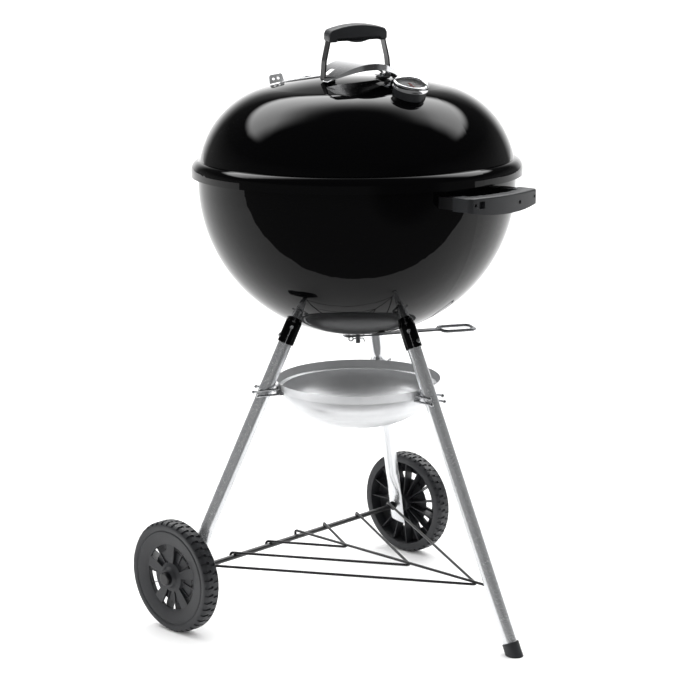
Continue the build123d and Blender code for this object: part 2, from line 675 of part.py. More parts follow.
def side_handle(name, turn):
    """One moulded grip, its steel brackets on the bowl and its screws, turned about the kettle."""
    flat = Plane(origin=(0, 0, GRIP_Z), x_dir=polar(1, turn), z_dir=(0, 0, 1))
    front_x = polar(1, turn)
    front = Plane(origin=(0, 0, GRIP_Z), x_dir=flat.y_dir, z_dir=front_x)
    with BuildPart() as grip:
        with BuildSketch(Plane(flat.origin - Vector(0, 0, 25), flat.x_dir, flat.z_dir)):
            with BuildLine():
                ThreePointArc((GRIP_X - 11, -GRIP_HALF), (GRIP_X, 0), (GRIP_X - 11, GRIP_HALF))
                Line((GRIP_X - 11, GRIP_HALF), (ARM_BACK, GRIP_HALF))
                Line((ARM_BACK, GRIP_HALF), (ARM_BACK, ARM_IN))
                Line((ARM_BACK, ARM_IN), (GRIP_X - GRIP_THICK - 11, ARM_IN))
                ThreePointArc(
                    (GRIP_X - GRIP_THICK - 11, ARM_IN),
                    (GRIP_X - GRIP_THICK, 0),
                    (GRIP_X - GRIP_THICK - 11, -ARM_IN),
                )
                Line((GRIP_X - GRIP_THICK - 11, -ARM_IN), (ARM_BACK, -ARM_IN))
                Line((ARM_BACK, -ARM_IN), (ARM_BACK, -GRIP_HALF))
                Line((ARM_BACK, -GRIP_HALF), (GRIP_X - 11, -GRIP_HALF))
            outline = make_face()
            fillet(outline.vertices().sort_by(Axis(flat.origin, flat.x_dir))[-2:], radius=9)
        extrude(amount=50)
        with BuildSketch(Plane(front.origin + front_x * 250, front.x_dir, front.z_dir)):
            with BuildLine():
                Line((-GRIP_HALF, 15), (GRIP_HALF, 15))
                Line((GRIP_HALF, 15), (GRIP_HALF, -9))
                ThreePointArc((GRIP_HALF, -9), (0, -17), (-GRIP_HALF, -9))
                Line((-GRIP_HALF, -9), (-GRIP_HALF, 15))
            make_face()
        extrude(amount=120, mode=Mode.INTERSECT)
        rims = grip.faces().sort_by(Axis.Z)
        fillet(rims[-1].edges(), radius=3)
        with BuildSketch(Plane(front.origin + front_x * (GRIP_X + 5), front.x_dir, front.z_dir)):
            with Locations((29, -1)):
                Circle(3.4)
            with Locations((-64, 3)):
                RectangleRounded(12, 12, 2)
        extrude(amount=-17, mode=Mode.SUBTRACT)
        with BuildSketch(Plane(front.origin + front_x * (GRIP_X + 5), front.x_dir, front.z_dir)):
            with Locations((-SCREW_Y, 3), (SCREW_Y, 3)):
                Circle(2.6)
        extrude(amount=-(GRIP_X - ARM_BACK + 8), mode=Mode.SUBTRACT)
    keep(grip.part, f"side_handle_{name}")
    with BuildPart() as bracket:
        with BuildSketch(Plane(front.origin + front_x * (ARM_BACK - 0.02), front.x_dir, front.z_dir)):
            for side in (-1, 1):
                with Locations((side * (GRIP_HALF + ARM_IN) / 2, 3)):
                    Rectangle(GRIP_HALF - ARM_IN, 20)
        extrude(amount=-42)
        add(BOWL_ENVELOPE, mode=Mode.SUBTRACT)
        with BuildSketch(Plane(front.origin + front_x * ARM_BACK, front.x_dir, front.z_dir)):
            with Locations((-SCREW_Y, 3), (SCREW_Y, 3)):
                Circle(2.6)
        extrude(amount=-4, mode=Mode.SUBTRACT)
    keep(bracket.part, f"side_handle_bracket_{name}")
    with BuildPart() as screws:
        with BuildSketch(Plane(front.origin + front_x * (ARM_BACK - 3.5), front.x_dir, front.z_dir)):
            with Locations((-SCREW_Y, 3), (SCREW_Y, 3)):
                Circle(2.55)
        extrude(amount=40)
    return screws.part


screw_sets = [side_handle("front", 0), side_handle("rear", 180)]
with BuildPart() as side_handle_screws:
    for screw_set in screw_sets:
        add(screw_set)
keep(side_handle_screws.part, "side_handle_screws")

# ---------------------------------------------------------------- legs and sockets
TUBE_TOP = 36.0
BUTTON_AT = 10.0
BUTTON_R = 4.0
BUTTON_OUT = SOCKET_D / 2 + 2.5
BUTTON_TRAVEL = 3.5
LEG_BORE = LEG_D / 2 - LEG_WALL
HOLE_AT = 31.0


def leg_point(azimuth, up):
    """A point on a leg's own axis, so far up it from the bottom of its socket."""
    return polar(SOCKET_LOW_R - up * sin(radians(SPLAY)), azimuth, SOCKET_LOW_Z + up * cos(radians(SPLAY)))


def leg_axis(azimuth):
    """Unit vector up along a leg."""
    return polar(-sin(radians(SPLAY)), azimuth, cos(radians(SPLAY)))


def leg_outward(azimuth):
    """Unit vector square to a leg, pointing away from the kettle's axis and up."""
    return polar(cos(radians(SPLAY)), azimuth, sin(radians(SPLAY)))


def leg_plane(azimuth, up):
    """Plane square to a leg, with its x direction pointing outward."""
    return Plane(origin=leg_point(azimuth, up), x_dir=leg_outward(azimuth), z_dir=leg_axis(azimuth))


def button_plane(azimuth, out):
    """Plane square to a snap button's own travel, so far out from the leg's axis."""
    origin = leg_point(azimuth, BUTTON_AT) + leg_outward(azimuth) * out
    return Plane(origin=origin, x_dir=leg_axis(azimuth), z_dir=leg_outward(azimuth))


def up_at_height(z):
    """Distance along a leg, measured up from its socket's bottom, at which its axis is at a height."""
    return (z - SOCKET_LOW_Z) / cos(radians(SPLAY))


for leg, azimuth in LEG_AZIMUTHS.items():
    with BuildPart() as leg_socket:
        with BuildSketch(leg_plane(azimuth, 0)):
            Circle(SOCKET_D / 2)
            Circle(LEG_D / 2 + 0.05, mode=Mode.SUBTRACT)
        extrude(amount=SOCKET_LEN + 12)
        add(BOWL_ENVELOPE, mode=Mode.SUBTRACT)
        with BuildSketch(button_plane(azimuth, 0)):
            Circle(BUTTON_R + 0.3)
        extrude(amount=20, mode=Mode.SUBTRACT)
        seam = SEAM_AZIMUTHS[leg]
        facing = leg_outward(azimuth).rotate(Axis((0, 0, 0), leg_axis(azimuth)), seam)
        slit = Plane(origin=leg_point(azimuth, HOLE_AT), x_dir=leg_axis(azimuth), z_dir=facing)
        with BuildSketch(slit):
            Circle(3.6)
            with Locations((-HOLE_AT / 2, 0)):
                Rectangle(HOLE_AT, 1.6)
        extrude(amount=20, mode=Mode.SUBTRACT)
    keep(leg_socket.part, f"leg_socket_{leg}")

    with BuildPart() as leg_button:
        with BuildSketch(button_plane(azimuth, LEG_BORE - 3)):
            Circle(BUTTON_R)
        extrude(amount=BUTTON_OUT - LEG_BORE + 3)
        fillet(leg_button.edges().group_by(Axis((0, 0, 0), leg_outward(azimuth)))[-1], radius=1.4)
        with BuildSketch(button_plane(azimuth, LEG_BORE - 3)):
            Circle(5.5)
        extrude(amount=1.4)
    keep(leg_button.part, f"leg_button_{leg}")

    with BuildPart() as button_spring:
        spring_side = Plane(
            origin=leg_point(azimuth, 0),
            x_dir=leg_outward(azimuth),
            z_dir=leg_outward(azimuth).cross(leg_axis(azimuth)),
        )
        with BuildLine(spring_side) as leaf:
            FilletPolyline((3.6, 3), (3.6, 18), (-3, 34), (-10.4, 3), radius=2.5)
        with BuildSketch(Plane(leaf.line @ 0, x_dir=spring_side.z_dir, z_dir=leaf.line % 0)):
            Rectangle(6, 0.6)
        sweep()
    keep(button_spring.part, f"button_spring_{leg}")

with BuildPart() as leg_front:
    foot_at = up_at_height(4)
    with BuildSketch(leg_plane(0, TUBE_TOP)):
        Circle(LEG_D / 2)
        Circle(LEG_BORE, mode=Mode.SUBTRACT)
    extrude(amount=-(TUBE_TOP - foot_at))
    with BuildSketch(button_plane(0, 0)):
        Circle(BUTTON_R + 0.08)
    extrude(amount=20, mode=Mode.SUBTRACT)
keep(leg_front.part, "leg_front")

with BuildPart() as foot_cap:
    cap_top = up_at_height(4) + CAP_LEN
    with BuildSketch(leg_plane(0, cap_top)):
        Circle(CAP_D / 2)
    extrude(amount=-(CAP_LEN + 20))
    fillet(foot_cap.edges().group_by(Axis.Z)[-1], radius=1.5)
    split(bisect_by=Plane.XY, keep=Keep.TOP)
    with BuildSketch(leg_plane(0, up_at_height(4))):
        Circle(LEG_D / 2 + 0.02)
    extrude(amount=CAP_LEN + 5, mode=Mode.SUBTRACT)
keep(foot_cap.part, "foot_cap")

ROUND_AT = AXLE_Z + 78
FLAT_AT = AXLE_Z + 30
TIP_BELOW = 38.0

for leg in ("rear_left", "rear_right"):
    azimuth = LEG_AZIMUTHS[leg]
    side = 1 if azimuth > 0 else -1
    wide = leg_axis(azimuth).cross(Vector(0, side, 0)).normalized()

    def blade_plane(z):
        """Plane square to this leg with its x direction across the flattened blade."""
        return Plane(origin=leg_point(azimuth, up_at_height(z)), x_dir=wide, z_dir=leg_axis(azimuth))

    with BuildPart() as leg_rear:
        with BuildSketch(blade_plane(ROUND_AT)):
            Circle(LEG_D / 2)
        with BuildSketch(blade_plane((ROUND_AT + FLAT_AT) / 2)):
            Ellipse(BLADE_W * 0.43, BLADE_T * 1.45)
        with BuildSketch(blade_plane(FLAT_AT)):
            Ellipse(BLADE_W / 2, BLADE_T / 2)
        loft()
        with BuildSketch(blade_plane(FLAT_AT)):
            Ellipse(BLADE_W / 2, BLADE_T / 2)
        extrude(amount=-(FLAT_AT - AXLE_Z + TIP_BELOW) / cos(radians(SPLAY)))
        with BuildSketch(Plane(leg_point(azimuth, up_at_height(AXLE_Z - TIP_BELOW)), wide,
                               leg_axis(azimuth).cross(wide))):
            with BuildLine():
                Polyline((-40, -5), (BLADE_W / 2, 0), (-40, 46), (-40, -5))
            make_face()
        extrude(amount=20, both=True, mode=Mode.SUBTRACT)
        with BuildSketch(leg_plane(azimuth, TUBE_TOP)):
            Circle(LEG_D / 2)
        extrude(amount=-(TUBE_TOP - up_at_height(ROUND_AT)))
        with BuildSketch(leg_plane(azimuth, TUBE_TOP)):
            Circle(LEG_BORE)
        extrude(amount=-(TUBE_TOP - up_at_height(ROUND_AT + 4)), mode=Mode.SUBTRACT)
        with BuildSketch(button_plane(azimuth, 0)):
            Circle(BUTTON_R + 0.08)
        extrude(amount=20, mode=Mode.SUBTRACT)
        with BuildSketch(Plane(origin=(AXLE_X, 0, AXLE_Z), x_dir=(1, 0, 0), z_dir=(0, side, 0))):
            Circle(AXLE_D / 2 + 0.05)
        extrude(amount=400, mode=Mode.SUBTRACT)
    keep(leg_rear.part, f"leg_{leg}")

# ---------------------------------------------------------------- axle, wheels and rack
HUB_OUT = TYRE_HALF + 3
HUB_IN = 21.0
HUB_R = 17.0
BORE_R = AXLE_D / 2 + 0.08
RIM_IN = 84.0
DISC_LOW = 7.0
DISC_HIGH = 11.0
WINDOW_IN = 26.0
WINDOW_OUT = 60.0
RIBS = 15
AXLE_END = WHEEL_Y + HUB_OUT + 6

with BuildPart() as axle:
    with BuildSketch(Plane(origin=(AXLE_X, -AXLE_END, AXLE_Z), x_dir=(1, 0, 0), z_dir=(0, 1, 0))):
        Circle(AXLE_D / 2)
    extrude(amount=2 * AXLE_END)
keep(axle.part, "axle")

for name, side in (("left", -1), ("right", 1)):
    centre = Vector(AXLE_X, side * WHEEL_Y, AXLE_Z)
    spin = Axis(centre, (0, side, 0))
    face = Plane(origin=centre, x_dir=(1, 0, 0), z_dir=(0, side, 0))
    with BuildPart() as wheel:
        with BuildSketch(Plane(origin=centre, x_dir=(1, 0, 0), z_dir=(0, 0, side))):
            with BuildLine():
                FilletPolyline(
                    (RIM_IN, -TYRE_HALF), (WHEEL_R - 5, -TYRE_HALF), (WHEEL_R, -TYRE_HALF + 6),
                    (WHEEL_R, TYRE_HALF - 6), (WHEEL_R - 5, TYRE_HALF), (RIM_IN - 6, TYRE_HALF - 1),
                    (WINDOW_OUT, DISC_HIGH + 1),
                    radius=2.5)
                Polyline(
                    (WINDOW_OUT, DISC_HIGH + 1), (WINDOW_IN, DISC_HIGH), (HUB_R, HUB_OUT), (BORE_R, HUB_OUT),
                    (BORE_R, -HUB_IN), (HUB_R, -HUB_IN), (HUB_R, DISC_LOW), (WINDOW_OUT, DISC_LOW),
                    (RIM_IN - 5, TYRE_HALF - 6), (RIM_IN, DISC_LOW), (RIM_IN, -TYRE_HALF))
            make_face()
        revolve(axis=spin)
        with BuildSketch(Plane(face.origin - face.z_dir * 12, face.x_dir, face.z_dir)):
            with PolarLocations((RIM_IN + HUB_R) / 2, RIBS):
                Rectangle(RIM_IN - HUB_R + 3, 2)
        extrude(amount=12 + DISC_LOW + 1)
        with BuildSketch(face):
            for turn in range(SPOKES):
                azimuth = 90 + 360 / SPOKES * (turn + 0.5)
                inner, outer = 22.0, 26.0
                with BuildLine():
                    Line(polar(WINDOW_IN, azimuth - inner), polar(WINDOW_OUT, azimuth - outer))
                    ThreePointArc(polar(WINDOW_OUT, azimuth - outer), polar(WINDOW_OUT, azimuth),
                                  polar(WINDOW_OUT, azimuth + outer))
                    Line(polar(WINDOW_OUT, azimuth + outer), polar(WINDOW_IN, azimuth + inner))
                    ThreePointArc(polar(WINDOW_IN, azimuth + inner), polar(WINDOW_IN, azimuth),
                                  polar(WINDOW_IN, azimuth - inner))
                make_face()
        extrude(amount=TYRE_HALF + 6, mode=Mode.SUBTRACT)
        for level in (TYRE_HALF - 11, -TYRE_HALF - 1):
            with BuildSketch(Plane(face.origin + face.z_dir * level, face.x_dir, face.z_dir)):
                with PolarLocations(WHEEL_R, TREAD_NOTCHES):
                    Rectangle(6, 5)
            extrude(amount=12, mode=Mode.SUBTRACT)
    keep(wheel.part, f"wheel_{name}")
    with BuildPart() as hub_cap:
        with BuildSketch(Plane(face.origin + face.z_dir * (HUB_OUT + 0.4), face.x_dir, face.z_dir)):
            Circle(12)
        extrude(amount=8)
        fillet(hub_cap.edges().group_by(spin)[-1], radius=3)
        with BuildSketch(Plane(face.origin + face.z_dir * HUB_OUT, face.x_dir, face.z_dir)):
            Circle(AXLE_D / 2 + 0.02)
        extrude(amount=6.1, mode=Mode.SUBTRACT)
    keep(hub_cap.part, f"hub_cap_{name}")

LEG_AT_AXLE = SOCKET_LOW_R - up_at_height(AXLE_Z) * sin(radians(SPLAY))
LEG_Y = LEG_AT_AXLE * sin(radians(120))

with BuildPart() as axle_collars:
    for side in (-1, 1):
        for y in (LEG_Y + 9.2, LEG_Y - 9.5):
            with BuildSketch(Plane(origin=(AXLE_X, side * y, AXLE_Z), x_dir=(1, 0, 0), z_dir=(0, side, 0))):
                Circle(9)
                Circle(AXLE_D / 2 + 0.02, mode=Mode.SUBTRACT)
            extrude(amount=-2)
keep(axle_collars.part, "axle_collars")

FRONT_INNER = SOCKET_LOW_R - up_at_height(RACK_Z) * sin(radians(SPLAY)) - LEG_D / 2 / cos(radians(SPLAY))
RACK_TIPS = {"wide": (262.0, 284.0), "middle": (170.0, 127.0), "narrow": (78.0, -31.0)}

HOOK_BACK = AXLE_X - AXLE_D / 2 - RACK_WIRE / 2 - 0.15
HOOK_DROP = 6.5
SPINE_UP = 3.4  # the middle wire lies on top of the others, pressed into them where it is welded

with BuildPart() as bottom_rack:
    add(bent_wire(
        [(HOOK_BACK, 0, RACK_Z - HOOK_DROP), (HOOK_BACK, 0, RACK_Z + SPINE_UP),
         (FRONT_INNER - 3.2, 0, RACK_Z + SPINE_UP)], 5, RACK_WIRE))
    for half, tip in RACK_TIPS.values():
        add(bent_wire(
            [(HOOK_BACK, -half, RACK_Z - HOOK_DROP), (HOOK_BACK, -half, RACK_Z), (tip, 0, RACK_Z),
             (HOOK_BACK, half, RACK_Z), (HOOK_BACK, half, RACK_Z - HOOK_DROP)], 5, RACK_WIRE))
keep(bottom_rack.part, "bottom_rack")

# ---------------------------------------------------------------- ash dish
BAND_LOW = DISH_TOP - DISH_BAND
CLIP_WIRE = 4.0
CLIP_LEVELS = (-7.0, -17.0)
CLIP_OFFSET = 15.3
BALL_R = 3.4

with BuildPart() as ash_dish:
    with BuildSketch(Plane.XZ):
        with BuildLine():
            Polyline((DISH_R, DISH_TOP), (DISH_R - 4, BAND_LOW), (DISH_BODY_R, BAND_LOW - 2))
            EllipticalCenterArc((0, BAND_LOW - 2), DISH_BODY_R, DISH_DEPTH - 2, start_angle=270, arc_size=90)
            Line((0, BAND_LOW - DISH_DEPTH), (0, BAND_LOW - DISH_DEPTH + DISH_WALL))
            EllipticalCenterArc((0, BAND_LOW - 2 + DISH_WALL), DISH_BODY_R - DISH_WALL, DISH_DEPTH - 2,
                                start_angle=270, arc_size=90)
            Polyline((DISH_BODY_R - DISH_WALL, BAND_LOW - 2 + DISH_WALL),
                     (DISH_R - 4 - DISH_WALL, BAND_LOW + 1), (DISH_R - DISH_WALL, DISH_TOP),
                     (DISH_R, DISH_TOP))
        make_face()
    revolve(axis=Axis.Z)
keep(ash_dish.part, "ash_dish")

clip_nodes = []
with BuildPart() as ash_dish_clips:
    for azimuth in LEG_AZIMUTHS.values():
        along = polar(1, azimuth)
        across = Vector(-along.Y, along.X, 0)
        for level in CLIP_LEVELS:
            z = DISH_TOP + level
            back = along * (DISH_R + 3.2)
            leg_r = SOCKET_LOW_R - up_at_height(z) * sin(radians(SPLAY))
            tip = along * (leg_r + 15)
            points = [
                tip - across * (CLIP_OFFSET + 1.8) + Vector(0, 0, z),
                back - across * CLIP_OFFSET + Vector(0, 0, z),
                back + across * CLIP_OFFSET + Vector(0, 0, z),
                tip + across * (CLIP_OFFSET + 1.8) + Vector(0, 0, z),
            ]
            add(bent_wire(points, 3, CLIP_WIRE))
            with Locations(points[0], points[-1]):
                Sphere(BALL_R)
keep(ash_dish_clips.part, "ash_dish_clips")

with BuildPart() as ash_dish_brackets:
    for azimuth in LEG_AZIMUTHS.values():
        along = polar(1, azimuth)
        with BuildSketch(Plane(origin=(0, 0, DISH_TOP - 21), x_dir=along, z_dir=(0, 0, 1))):
            with Locations((DISH_R - 0.5, 0)):
                Rectangle(14, 16)
        extrude(amount=17.5)
        for level in CLIP_LEVELS:
            tangent = Vector(-along.Y, along.X, 0)
            with BuildSketch(Plane(along * (DISH_R + 3.2) - tangent * 20 + Vector(0, 0, DISH_TOP + level),
                                   z_dir=tangent)):
                Circle(CLIP_WIRE / 2 + 0.02)
            extrude(amount=40, mode=Mode.SUBTRACT)
    with BuildSketch(Plane.XZ):
        with BuildLine():
            Polyline((DISH_R + 0.02, DISH_TOP), (DISH_R - 3.98, BAND_LOW),
                     (DISH_BODY_R + 0.02, BAND_LOW - 2), (DISH_BODY_R - 1, BAND_LOW - 20),
                     (0, BAND_LOW - 20), (0, DISH_TOP), (DISH_R + 0.02, DISH_TOP))
        make_face()
    revolve(axis=Axis.Z, mode=Mode.SUBTRACT)
keep(ash_dish_brackets.part, "ash_dish_brackets")

# ---------------------------------------------------------------- ash sweep
BLADE_OUT = 150.0
BLADE_LIFT = 1.2
BLADE_THICK = 1.2
HUB_TOP = BOWL_BOTTOM + SHELL + BLADE_LIFT

with BuildPart() as sweep_hub:
    with BuildSketch(Plane.XY.offset(BOWL_BOTTOM + SHELL + 1.2)):
        Circle(19)
    extrude(amount=6)
    fillet(sweep_hub.edges().group_by(Axis.Z)[-1], radius=2)
    with BuildSketch(Plane.XY.offset(BOWL_BOTTOM + SHELL + 2)):
        Circle(SHAFT_R)
    extrude(amount=-24)
    with BuildSketch(Plane(origin=polar(-10, LEVER_AZ, LEVER_Z - 6.5), z_dir=polar(1, LEVER_AZ))):
        Circle(1.3)
    extrude(amount=20, mode=Mode.SUBTRACT)
keep(sweep_hub.part, "sweep_hub")

for index in range(3):
    azimuth = LEVER_AZ + 120 * index - BLADE_SPAN / 2
    radial = Plane(origin=(0, 0, 0), x_dir=polar(1, azimuth), z_dir=polar(1, azimuth).cross(Vector(0, 0, 1)))
    with BuildPart() as sweep_blade:
        with BuildSketch(radial):
            with BuildLine():
                under, over = SHELL + BLADE_LIFT, SHELL + BLADE_LIFT + BLADE_THICK
                low_r, high_r = BOWL_SIDE_R - under, BOWL_SIDE_R - over
                start_r, mid_r = 19.6, 90.0
                low_base, high_base = BOWL_BASE_R - under, BOWL_BASE_R - over
                knee_low = (low_base * sin(BASE_ANGLE), BASE_Z - low_base * cos(BASE_ANGLE))
                knee_high = (high_base * sin(BASE_ANGLE), BASE_Z - high_base * cos(BASE_ANGLE))
                in_low = (start_r, BASE_Z - sqrt(low_base**2 - start_r**2))
                in_high = (start_r, BASE_Z - sqrt(high_base**2 - start_r**2))
                out_low = (BLADE_OUT, SIDE_Z - sqrt(low_r**2 - (BLADE_OUT - SIDE_X) ** 2))
                out_high = (BLADE_OUT, SIDE_Z - sqrt(high_r**2 - (BLADE_OUT - SIDE_X) ** 2))
                ThreePointArc(in_low, arc_mid(0, BASE_Z, low_base, in_low, knee_low), knee_low)
                ThreePointArc(knee_low, arc_mid(SIDE_X, SIDE_Z, low_r, knee_low, out_low), out_low)
                Line(out_low, out_high)
                ThreePointArc(out_high, arc_mid(SIDE_X, SIDE_Z, high_r, out_high, knee_high), knee_high)
                ThreePointArc(knee_high, arc_mid(0, BASE_Z, high_base, knee_high, in_high), in_high)
                Line(in_high, in_low)
            make_face()
        revolve(axis=Axis.Z, revolution_arc=BLADE_SPAN)
    keep(sweep_blade.part, f"sweep_blade_{index + 1}")

LEVER_T = 3.0
LEVER_W = 25.0
LOOP_START = 150.0
LOOP_HALF = 22.0
LOOP_WIRE = 6.0

with BuildPart() as sweep_lever:
    flat = Plane(origin=(0, 0, LEVER_Z - LEVER_T / 2), x_dir=polar(1, LEVER_AZ), z_dir=(0, 0, 1))
    with BuildSketch(flat):
        with BuildLine():
            Polyline((-27, -LEVER_W / 2), (LOOP_START, -8), (LOOP_START, 8), (-27, LEVER_W / 2),
                     (-27, -LEVER_W / 2))
        outline = make_face()
        fillet(outline.vertices().sort_by(Axis((0, 0, 0), polar(1, LEVER_AZ)))[:2], radius=8)
        Circle(SHAFT_R + 0.02, mode=Mode.SUBTRACT)
    extrude(amount=LEVER_T)
keep(sweep_lever.part, "sweep_lever")

with BuildPart() as sweep_lever_grip:
    forward = polar(1, LEVER_AZ)
    sideways = Vector(-forward.Y, forward.X, 0)
    level = Vector(0, 0, LEVER_Z)
    tail = LOOP_START + 8
    loop = [
        forward * tail - sideways * 2 + level,
        forward * tail - sideways * LOOP_HALF + level,
        forward * (LEVER_END - LOOP_WIRE / 2) - sideways * LOOP_HALF + level,
        forward * (LEVER_END - LOOP_WIRE / 2) + sideways * LOOP_HALF + level,
        forward * tail + sideways * LOOP_HALF + level,
        forward * tail + sideways * 2 + level,
    ]
    add(bent_wire(loop, 9, LOOP_WIRE))
    with BuildSketch(Plane(origin=forward * (LOOP_START + 4.7) + level, x_dir=sideways, z_dir=(0, 0, 1))):
        Rectangle(16, 9)
    extrude(amount=2, both=True)
keep(sweep_lever_grip.part, "sweep_lever_grip")

with BuildPart() as sweep_spacer:
    with BuildSketch(Plane.XY.offset(LEVER_Z + LEVER_T / 2 + 0.02)):
        Circle(9)
        Circle(SHAFT_R + 0.02, mode=Mode.SUBTRACT)
    extrude(amount=4)
keep(sweep_spacer.part, "sweep_spacer")

with BuildPart() as sweep_cotter:
    pin_z = Vector(0, 0, LEVER_Z - 6.5)
    add(bent_wire(
        [forward * -10 + pin_z, forward * 10 + pin_z, forward * 13 + pin_z - Vector(0, 0, 7)], 2.2, 2.2))
    with BuildSketch(Plane(origin=forward * -13.5 + pin_z, x_dir=forward, z_dir=sideways)):
        Circle(5)
        Circle(2.8, mode=Mode.SUBTRACT)
    extrude(amount=1.1, both=True)
keep(sweep_cotter.part, "sweep_cotter")
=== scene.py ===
# %% [markdown]
# # Kettle charcoal grill
# A pressed and enamelled kettle on three tube legs, with two wheels, a wire rack and an ash dish.
# The engineering model comes in as a fixed frame: its parts already have their true size and place,
# and they carry the joints. Everything below gives those parts a finish, or stands a finer mesh in
# the same place where a plain engineering solid would look too simple.

# %% Load the fixed frame
import json
import math
import bmesh
import bpy
from mathutils import Matrix, Vector


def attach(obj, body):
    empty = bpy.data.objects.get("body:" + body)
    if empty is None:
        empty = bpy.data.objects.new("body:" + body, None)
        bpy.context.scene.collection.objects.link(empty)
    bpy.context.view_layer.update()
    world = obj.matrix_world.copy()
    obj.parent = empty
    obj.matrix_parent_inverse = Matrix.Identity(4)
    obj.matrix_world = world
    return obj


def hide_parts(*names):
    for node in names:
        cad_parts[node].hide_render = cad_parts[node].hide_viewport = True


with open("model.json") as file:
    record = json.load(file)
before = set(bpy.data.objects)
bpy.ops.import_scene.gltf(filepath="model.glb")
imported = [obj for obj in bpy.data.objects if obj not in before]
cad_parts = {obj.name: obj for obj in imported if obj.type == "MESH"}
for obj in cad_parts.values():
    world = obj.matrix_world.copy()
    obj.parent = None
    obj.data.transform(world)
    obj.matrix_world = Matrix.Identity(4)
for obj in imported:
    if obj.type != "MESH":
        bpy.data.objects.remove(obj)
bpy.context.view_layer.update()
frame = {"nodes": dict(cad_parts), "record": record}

# %% [markdown]
# ## Helpers
# Sizes in this file are written in millimetres, because that is how the real parts are drawn, and
# Blender works in metres. Colours are picked as sRGB hex values, and shaders need linear light.
# One function adds any shader node, so that a material reads as a list of its layers.

# %% Millimetres and colours
MM = 0.001


def linear(hex_colour):
    """Turn an sRGB hex colour into the linear RGBA that a shader needs."""
    parts = [int(hex_colour[i:i + 2], 16) / 255 for i in (1, 3, 5)]
    return [p / 12.92 if p <= 0.04045 else ((p + 0.055) / 1.055) ** 2.4 for p in parts] + [1.0]


print("mid grey in linear light:", [round(v, 3) for v in linear("#808080")])

# %% Materials and their nodes
def new_material(name, **values):
    """Make a material with plain values on its shader; underscores stand for spaces."""
    material = bpy.data.materials.new(name)
    material.use_nodes = True
    shader = material.node_tree.nodes["Principled BSDF"]
    for socket, value in values.items():
        shader.inputs[socket.replace("_", " ")].default_value = value
    return material


def add_node(material, kind, values=None, feeds=None, **settings):
    """Add one node to a material or world, with its settings, values and the sockets feeding it."""
    node = material.node_tree.nodes.new(kind)
    for setting, value in settings.items():
        setattr(node, setting, value)
    for socket, value in (values or {}).items():
        node.inputs[socket].default_value = value
    for socket, source in (feeds or {}).items():
        material.node_tree.links.new(source, node.inputs[socket])
    return node


def connect(material, source, socket):
    """Feed one output into a named socket of the material's Principled shader."""
    material.node_tree.links.new(source, material.node_tree.nodes["Principled BSDF"].inputs[socket])


def blend_colours(material, factor, first, second):
    """Fade between two hex colours by a factor and use the result as the base colour."""
    ramp = add_node(material, "ShaderNodeValToRGB", feeds={"Fac": factor})
    ramp.color_ramp.elements[0].color = linear(first)
    ramp.color_ramp.elements[1].color = linear(second)
    connect(material, ramp.outputs["Color"], "Base Color")
    return ramp


def vary_roughness(material, factor, low, high):
    """Let the roughness wander between two values."""
    spread = add_node(
        material, "ShaderNodeMapRange", {"To Min": low, "To Max": high}, {"Value": factor})
    connect(material, spread.outputs["Result"], "Roughness")


def raise_surface(material, height, depth_mm, strength=1.0):
    """Bump the surface by a height pattern whose full range is a real depth."""
    bump = add_node(
        material, "ShaderNodeBump", {"Strength": strength, "Distance": depth_mm * MM},
        {"Height": height})
    connect(material, bump.outputs["Normal"], "Normal")


def object_space(material, turn=(0, 0, 0)):
    """Object coordinates in metres, turned about the origin."""
    place = add_node(material, "ShaderNodeTexCoord")
    turned = add_node(
        material, "ShaderNodeMapping", {"Rotation": turn}, {"Vector": place.outputs["Object"]})
    return turned.outputs["Vector"]


def noise(material, space, size_mm, detail, **values):
    """A cloudy noise whose features have a real size."""
    texture = add_node(
        material, "ShaderNodeTexNoise", {"Scale": per_metre(size_mm), "Detail": detail, **values},
        {"Vector": space})
    return texture.outputs["Fac"]


def per_metre(size_mm):
    """How many features of a real size fit in a metre, which is a texture's scale."""
    return 1 / (size_mm * MM)


# %% [markdown]
# ## Finishes
# Each material is named for what it is on the real grill and how its surface was made.

# %% Vitreous enamel, dipped and fired on pressed steel
# Glass fused to steel flows while it is hot, so it is as smooth as a bottle with only a faint long
# wave in it, and it carries tiny specks from the firing. The colour is a true black. Its IOR is
# below that of glass, because it was matched to how dimly the real lid mirrors its room.
black_enamel = new_material("vitreous_enamel_fired", Roughness=0.02, IOR=1.24)
space = object_space(black_enamel)
waves = noise(black_enamel, space, 26, 1)
specks = noise(black_enamel, space, 1.6, 3)
blend_colours(black_enamel, specks, "#020202", "#050506")
vary_roughness(black_enamel, waves, 0.01, 0.03)
raise_surface(black_enamel, waves, 0.05)

# %% Aluminium tube, drawn and bright rolled
# Drawing a tube through a die leaves fine straight lines along it, so light smears across the tube
# and stays sharp along it. The lines really are finer than this; they are drawn to show.
LEAN = math.radians(24.4)
LINE_STRETCH = 0.006  # how much slower the lines change along the tube than across it


def drawn_tube(name, azimuth):
    """Aluminium tube finish whose draw lines run along a leg that leans out at an azimuth."""
    material = new_material(name, Metallic=0.8, Roughness=0.24)
    space = object_space(material, turn=(0, 0, -math.radians(azimuth)))
    upright = add_node(
        material, "ShaderNodeMapping", {"Rotation": (0, LEAN, 0), "Scale": (1, 1, LINE_STRETCH)},
        {"Vector": space})
    lines = noise(material, upright.outputs["Vector"], 0.9, 4, Roughness=0.7)
    handling = noise(material, space, 34, 3)
    blend_colours(material, handling, "#d0d2d4", "#e4e5e7")
    vary_roughness(material, lines, 0.16, 0.34)
    raise_surface(material, lines, 0.05, 0.6)
    return material


leg_finishes = {leg: drawn_tube(f"drawn_aluminium_{leg}", azimuth) for leg, azimuth in
                {"front": 0, "rear_left": -120, "rear_right": 120}.items()}

